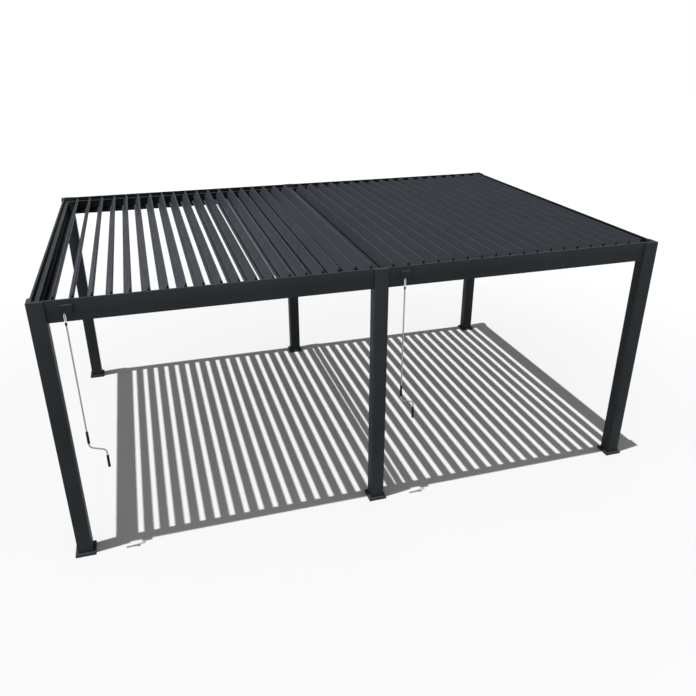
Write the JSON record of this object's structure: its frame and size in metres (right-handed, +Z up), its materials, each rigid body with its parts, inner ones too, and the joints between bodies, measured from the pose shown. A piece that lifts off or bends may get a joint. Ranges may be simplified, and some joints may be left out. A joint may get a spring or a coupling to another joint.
{
  "type": "louvered_pergola",
  "caption": "Free-standing dark grey aluminium pergola with two bays of turning roof louvres on six square posts, each bay worked by a hanging crank handle",
  "frame": {"origin": "on the ground under the middle of the whole pergola, cranks included", "axes": "+X along the long side to the right seen from the crank side, +Y to the rear, +Z up"},
  "size_m": [5.95, 3.984, 2.536],
  "materials": {
    "frame_coat": "fine matt anthracite powder coat",
    "louvre_coat": "matt anthracite powder coat on aluminium blades",
    "plate_coat": "matt anthracite powder coat",
    "gear_coat": "satin anthracite coat",
    "hook_steel": "bright zinc plated steel",
    "rod_metal": "satin grey rod",
    "grip_plastic": "matt black sleeve"
  },
  "bodies": {
    "frame": {"post_front_left": "frame_coat", "post_front_middle": "frame_coat", "post_front_right": "frame_coat", "post_rear_left": "frame_coat", "post_rear_middle": "frame_coat", "post_rear_right": "frame_coat", "base_plates": "plate_coat", "front_beam_left": "frame_coat", "rear_beam_left": "frame_coat", "side_beam_left": "frame_coat", "front_beam_right": "frame_coat", "rear_beam_right": "frame_coat", "side_beam_right": "frame_coat", "middle_beam": "frame_coat", "inner_rails": "frame_coat", "gear_boxes": "gear_coat"},
    "left_louvre_01_body": {"left_louvre_01": "louvre_coat"},
    "left_louvre_02_body": {"left_louvre_02": "louvre_coat"},
    "left_louvre_03_body": {"left_louvre_03": "louvre_coat"},
    "left_louvre_04_body": {"left_louvre_04": "louvre_coat"},
    "left_louvre_05_body": {"left_louvre_05": "louvre_coat"},
    "left_louvre_06_body": {"left_louvre_06": "louvre_coat"},
    "left_louvre_07_body": {"left_louvre_07": "louvre_coat"},
    "left_louvre_08_body": {"left_louvre_08": "louvre_coat"},
    "left_louvre_09_body": {"left_louvre_09": "louvre_coat"},
    "left_louvre_10_body": {"left_louvre_10": "louvre_coat"},
    "left_louvre_11_body": {"left_louvre_11": "louvre_coat"},
    "left_louvre_12_body": {"left_louvre_12": "louvre_coat"},
    "left_louvre_13_body": {"left_louvre_13": "louvre_coat"},
    "left_louvre_14_body": {"left_louvre_14": "louvre_coat"},
    "left_louvre_15_body": {"left_louvre_15": "louvre_coat"},
    "left_louvre_16_body": {"left_louvre_16": "louvre_coat"},
    "left_louvre_17_body": {"left_louvre_17": "louvre_coat"},
    "left_louvre_18_body": {"left_louvre_18": "louvre_coat"},
    "left_louvre_19_body": {"left_louvre_19": "louvre_coat"},
    "right_louvre_01_body": {"right_louvre_01": "louvre_coat"},
    "right_louvre_02_body": {"right_louvre_02": "louvre_coat"},
    "right_louvre_03_body": {"right_louvre_03": "louvre_coat"},
    "right_louvre_04_body": {"right_louvre_04": "louvre_coat"},
    "right_louvre_05_body": {"right_louvre_05": "louvre_coat"},
    "right_louvre_06_body": {"right_louvre_06": "louvre_coat"},
    "right_louvre_07_body": {"right_louvre_07": "louvre_coat"},
    "right_louvre_08_body": {"right_louvre_08": "louvre_coat"},
    "right_louvre_09_body": {"right_louvre_09": "louvre_coat"},
    "right_louvre_10_body": {"right_louvre_10": "louvre_coat"},
    "right_louvre_11_body": {"right_louvre_11": "louvre_coat"},
    "right_louvre_12_body": {"right_louvre_12": "louvre_coat"},
    "right_louvre_13_body": {"right_louvre_13": "louvre_coat"},
    "right_louvre_14_body": {"right_louvre_14": "louvre_coat"},
    "right_louvre_15_body": {"right_louvre_15": "louvre_coat"},
    "right_louvre_16_body": {"right_louvre_16": "louvre_coat"},
    "right_louvre_17_body": {"right_louvre_17": "louvre_coat"},
    "right_louvre_18_body": {"right_louvre_18": "louvre_coat"},
    "right_louvre_19_body": {"right_louvre_19": "louvre_coat"},
    "left_hook_body": {"left_hook": "hook_steel"},
    "left_crank_body": {"left_crank": "rod_metal", "left_grips": "grip_plastic"},
    "right_hook_body": {"right_hook": "hook_steel"},
    "right_crank_body": {"right_crank": "rod_metal", "right_grips": "grip_plastic"}
  },
  "joints": [
    {"name": "left_louvre_01_turn", "type": "hinge", "parent": "frame", "child": "left_louvre_01_body", "pos_m": [-2.76611, 0.0085, 2.4583], "axis": [0, 1, 0], "range_deg": [-26.1, 60.9]},
    {"name": "left_louvre_02_turn", "type": "hinge", "parent": "frame", "child": "left_louvre_02_body", "pos_m": [-2.61741, 0.0085, 2.4583], "axis": [0, 1, 0], "range_deg": [-26.1, 60.9]},
    {"name": "left_louvre_03_turn", "type": "hinge", "parent": "frame", "child": "left_louvre_03_body", "pos_m": [-2.46871, 0.0085, 2.4583], "axis": [0, 1, 0], "range_deg": [-26.1, 60.9]},
    {"name": "left_louvre_04_turn", "type": "hinge", "parent": "frame", "child": "left_louvre_04_body", "pos_m": [-2.32001, 0.0085, 2.4583], "axis": [0, 1, 0], "range_deg": [-26.1, 60.9]},
    {"name": "left_louvre_05_turn", "type": "hinge", "parent": "frame", "child": "left_louvre_05_body", "pos_m": [-2.17131, 0.0085, 2.4583], "axis": [0, 1, 0], "range_deg": [-26.1, 60.9]},
    {"name": "left_louvre_06_turn", "type": "hinge", "parent": "frame", "child": "left_louvre_06_body", "pos_m": [-2.02261, 0.0085, 2.4583], "axis": [0, 1, 0], "range_deg": [-26.1, 60.9]},
    {"name": "left_louvre_07_turn", "type": "hinge", "parent": "frame", "child": "left_louvre_07_body", "pos_m": [-1.87391, 0.0085, 2.4583], "axis": [0, 1, 0], "range_deg": [-26.1, 60.9]},
    {"name": "left_louvre_08_turn", "type": "hinge", "parent": "frame", "child": "left_louvre_08_body", "pos_m": [-1.72521, 0.0085, 2.4583], "axis": [0, 1, 0], "range_deg": [-26.1, 60.9]},
    {"name": "left_louvre_09_turn", "type": "hinge", "parent": "frame", "child": "left_louvre_09_body", "pos_m": [-1.57651, 0.0085, 2.4583], "axis": [0, 1, 0], "range_deg": [-26.1, 60.9]},
    {"name": "left_louvre_10_turn", "type": "hinge", "parent": "frame", "child": "left_louvre_10_body", "pos_m": [-1.42781, 0.0085, 2.4583], "axis": [0, 1, 0], "range_deg": [-26.1, 60.9]},
    {"name": "left_louvre_11_turn", "type": "hinge", "parent": "frame", "child": "left_louvre_11_body", "pos_m": [-1.27911, 0.0085, 2.4583], "axis": [0, 1, 0], "range_deg": [-26.1, 60.9]},
    {"name": "left_louvre_12_turn", "type": "hinge", "parent": "frame", "child": "left_louvre_12_body", "pos_m": [-1.13041, 0.0085, 2.4583], "axis": [0, 1, 0], "range_deg": [-26.1, 60.9]},
    {"name": "left_louvre_13_turn", "type": "hinge", "parent": "frame", "child": "left_louvre_13_body", "pos_m": [-0.98171, 0.0085, 2.4583], "axis": [0, 1, 0], "range_deg": [-26.1, 60.9]},
    {"name": "left_louvre_14_turn", "type": "hinge", "parent": "frame", "child": "left_louvre_14_body", "pos_m": [-0.83301, 0.0085, 2.4583], "axis": [0, 1, 0], "range_deg": [-26.1, 60.9]},
    {"name": "left_louvre_15_turn", "type": "hinge", "parent": "frame", "child": "left_louvre_15_body", "pos_m": [-0.68431, 0.0085, 2.4583], "axis": [0, 1, 0], "range_deg": [-26.1, 60.9]},
    {"name": "left_louvre_16_turn", "type": "hinge", "parent": "frame", "child": "left_louvre_16_body", "pos_m": [-0.53561, 0.0085, 2.4583], "axis": [0, 1, 0], "range_deg": [-26.1, 60.9]},
    {"name": "left_louvre_17_turn", "type": "hinge", "parent": "frame", "child": "left_louvre_17_body", "pos_m": [-0.38691, 0.0085, 2.4583], "axis": [0, 1, 0], "range_deg": [-26.1, 60.9]},
    {"name": "left_louvre_18_turn", "type": "hinge", "parent": "frame", "child": "left_louvre_18_body", "pos_m": [-0.23821, 0.0085, 2.4583], "axis": [0, 1, 0], "range_deg": [-26.1, 60.9]},
    {"name": "left_louvre_19_turn", "type": "hinge", "parent": "frame", "child": "left_louvre_19_body", "pos_m": [-0.08951, 0.0085, 2.4583], "axis": [0, 1, 0], "range_deg": [-26.1, 60.9]},
    {"name": "right_louvre_01_turn", "type": "hinge", "parent": "frame", "child": "right_louvre_01_body", "pos_m": [0.12449, 0.0085, 2.4583], "axis": [0, 1, 0], "range_deg": [-26.1, 60.9]},
    {"name": "right_louvre_02_turn", "type": "hinge", "parent": "frame", "child": "right_louvre_02_body", "pos_m": [0.27319, 0.0085, 2.4583], "axis": [0, 1, 0], "range_deg": [-26.1, 60.9]},
    {"name": "right_louvre_03_turn", "type": "hinge", "parent": "frame", "child": "right_louvre_03_body", "pos_m": [0.42189, 0.0085, 2.4583], "axis": [0, 1, 0], "range_deg": [-26.1, 60.9]},
    {"name": "right_louvre_04_turn", "type": "hinge", "parent": "frame", "child": "right_louvre_04_body", "pos_m": [0.57059, 0.0085, 2.4583], "axis": [0, 1, 0], "range_deg": [-26.1, 60.9]},
    {"name": "right_louvre_05_turn", "type": "hinge", "parent": "frame", "child": "right_louvre_05_body", "pos_m": [0.71929, 0.0085, 2.4583], "axis": [0, 1, 0], "range_deg": [-26.1, 60.9]},
    {"name": "right_louvre_06_turn", "type": "hinge", "parent": "frame", "child": "right_louvre_06_body", "pos_m": [0.86799, 0.0085, 2.4583], "axis": [0, 1, 0], "range_deg": [-26.1, 60.9]},
    {"name": "right_louvre_07_turn", "type": "hinge", "parent": "frame", "child": "right_louvre_07_body", "pos_m": [1.01669, 0.0085, 2.4583], "axis": [0, 1, 0], "range_deg": [-26.1, 60.9]},
    {"name": "right_louvre_08_turn", "type": "hinge", "parent": "frame", "child": "right_louvre_08_body", "pos_m": [1.16539, 0.0085, 2.4583], "axis": [0, 1, 0], "range_deg": [-26.1, 60.9]},
    {"name": "right_louvre_09_turn", "type": "hinge", "parent": "frame", "child": "right_louvre_09_body", "pos_m": [1.31409, 0.0085, 2.4583], "axis": [0, 1, 0], "range_deg": [-26.1, 60.9]},
    {"name": "right_louvre_10_turn", "type": "hinge", "parent": "frame", "child": "right_louvre_10_body", "pos_m": [1.46279, 0.0085, 2.4583], "axis": [0, 1, 0], "range_deg": [-26.1, 60.9]},
    {"name": "right_louvre_11_turn", "type": "hinge", "parent": "frame", "child": "right_louvre_11_body", "pos_m": [1.61149, 0.0085, 2.4583], "axis": [0, 1, 0], "range_deg": [-26.1, 60.9]},
    {"name": "right_louvre_12_turn", "type": "hinge", "parent": "frame", "child": "right_louvre_12_body", "pos_m": [1.76019, 0.0085, 2.4583], "axis": [0, 1, 0], "range_deg": [-26.1, 60.9]},
    {"name": "right_louvre_13_turn", "type": "hinge", "parent": "frame", "child": "right_louvre_13_body", "pos_m": [1.90889, 0.0085, 2.4583], "axis": [0, 1, 0], "range_deg": [-26.1, 60.9]},
    {"name": "right_louvre_14_turn", "type": "hinge", "parent": "frame", "child": "right_louvre_14_body", "pos_m": [2.05759, 0.0085, 2.4583], "axis": [0, 1, 0], "range_deg": [-26.1, 60.9]},
    {"name": "right_louvre_15_turn", "type": "hinge", "parent": "frame", "child": "right_louvre_15_body", "pos_m": [2.20629, 0.0085, 2.4583], "axis": [0, 1, 0], "range_deg": [-26.1, 60.9]},
    {"name": "right_louvre_16_turn", "type": "hinge", "parent": "frame", "child": "right_louvre_16_body", "pos_m": [2.35499, 0.0085, 2.4583], "axis": [0, 1, 0], "range_deg": [-26.1, 60.9]},
    {"name": "right_louvre_17_turn", "type": "hinge", "parent": "frame", "child": "right_louvre_17_body", "pos_m": [2.50369, 0.0085, 2.4583], "axis": [0, 1, 0], "range_deg": [-26.1, 60.9]},
    {"name": "right_louvre_18_turn", "type": "hinge", "parent": "frame", "child": "right_louvre_18_body", "pos_m": [2.65239, 0.0085, 2.4583], "axis": [0, 1, 0], "range_deg": [-26.1, 60.9]},
    {"name": "right_louvre_19_turn", "type": "hinge", "parent": "frame", "child": "right_louvre_19_body", "pos_m": [2.80109, 0.0085, 2.4583], "axis": [0, 1, 0], "range_deg": [-26.1, 60.9]},
    {"name": "left_hook_swing", "type": "hinge", "parent": "frame", "child": "left_hook_body", "pos_m": [-2.676, -1.98, 2.4102], "axis": [-1, 0, 0], "range_deg": [0, 35]},
    {"name": "left_crank_spin", "type": "hinge", "parent": "left_hook_body", "child": "left_crank_body", "pos_m": [-2.676, -1.98, 2.3422], "axis": [0, 0, 1], "continuous": true},
    {"name": "right_hook_swing", "type": "hinge", "parent": "frame", "child": "right_hook_body", "pos_m": [0.209, -1.98, 2.4102], "axis": [-1, 0, 0], "range_deg": [0, 35]},
    {"name": "right_crank_spin", "type": "hinge", "parent": "right_hook_body", "child": "right_crank_body", "pos_m": [0.209, -1.98, 2.3422], "axis": [0, 0, 1], "continuous": true}
  ],
  "couplings": [
    {"joint": "left_louvre_02_turn", "follows": "left_louvre_01_turn", "ratio": 1},
    {"joint": "left_louvre_03_turn", "follows": "left_louvre_01_turn", "ratio": 1},
    {"joint": "left_louvre_04_turn", "follows": "left_louvre_01_turn", "ratio": 1},
    {"joint": "left_louvre_05_turn", "follows": "left_louvre_01_turn", "ratio": 1},
    {"joint": "left_louvre_06_turn", "follows": "left_louvre_01_turn", "ratio": 1},
    {"joint": "left_louvre_07_turn", "follows": "left_louvre_01_turn", "ratio": 1},
    {"joint": "left_louvre_08_turn", "follows": "left_louvre_01_turn", "ratio": 1},
    {"joint": "left_louvre_09_turn", "follows": "left_louvre_01_turn", "ratio": 1},
    {"joint": "left_louvre_10_turn", "follows": "left_louvre_01_turn", "ratio": 1},
    {"joint": "left_louvre_11_turn", "follows": "left_louvre_01_turn", "ratio": 1},
    {"joint": "left_louvre_12_turn", "follows": "left_louvre_01_turn", "ratio": 1},
    {"joint": "left_louvre_13_turn", "follows": "left_louvre_01_turn", "ratio": 1},
    {"joint": "left_louvre_14_turn", "follows": "left_louvre_01_turn", "ratio": 1},
    {"joint": "left_louvre_15_turn", "follows": "left_louvre_01_turn", "ratio": 1},
    {"joint": "left_louvre_16_turn", "follows": "left_louvre_01_turn", "ratio": 1},
    {"joint": "left_louvre_17_turn", "follows": "left_louvre_01_turn", "ratio": 1},
    {"joint": "left_louvre_18_turn", "follows": "left_louvre_01_turn", "ratio": 1},
    {"joint": "left_louvre_19_turn", "follows": "left_louvre_01_turn", "ratio": 1},
    {"joint": "right_louvre_02_turn", "follows": "right_louvre_01_turn", "ratio": 1},
    {"joint": "right_louvre_03_turn", "follows": "right_louvre_01_turn", "ratio": 1},
    {"joint": "right_louvre_04_turn", "follows": "right_louvre_01_turn", "ratio": 1},
    {"joint": "right_louvre_05_turn", "follows": "right_louvre_01_turn", "ratio": 1},
    {"joint": "right_louvre_06_turn", "follows": "right_louvre_01_turn", "ratio": 1},
    {"joint": "right_louvre_07_turn", "follows": "right_louvre_01_turn", "ratio": 1},
    {"joint": "right_louvre_08_turn", "follows": "right_louvre_01_turn", "ratio": 1},
    {"joint": "right_louvre_09_turn", "follows": "right_louvre_01_turn", "ratio": 1},
    {"joint": "right_louvre_10_turn", "follows": "right_louvre_01_turn", "ratio": 1},
    {"joint": "right_louvre_11_turn", "follows": "right_louvre_01_turn", "ratio": 1},
    {"joint": "right_louvre_12_turn", "follows": "right_louvre_01_turn", "ratio": 1},
    {"joint": "right_louvre_13_turn", "follows": "right_louvre_01_turn", "ratio": 1},
    {"joint": "right_louvre_14_turn", "follows": "right_louvre_01_turn", "ratio": 1},
    {"joint": "right_louvre_15_turn", "follows": "right_louvre_01_turn", "ratio": 1},
    {"joint": "right_louvre_16_turn", "follows": "right_louvre_01_turn", "ratio": 1},
    {"joint": "right_louvre_17_turn", "follows": "right_louvre_01_turn", "ratio": 1},
    {"joint": "right_louvre_18_turn", "follows": "right_louvre_01_turn", "ratio": 1},
    {"joint": "right_louvre_19_turn", "follows": "right_louvre_01_turn", "ratio": 1}
  ]
}
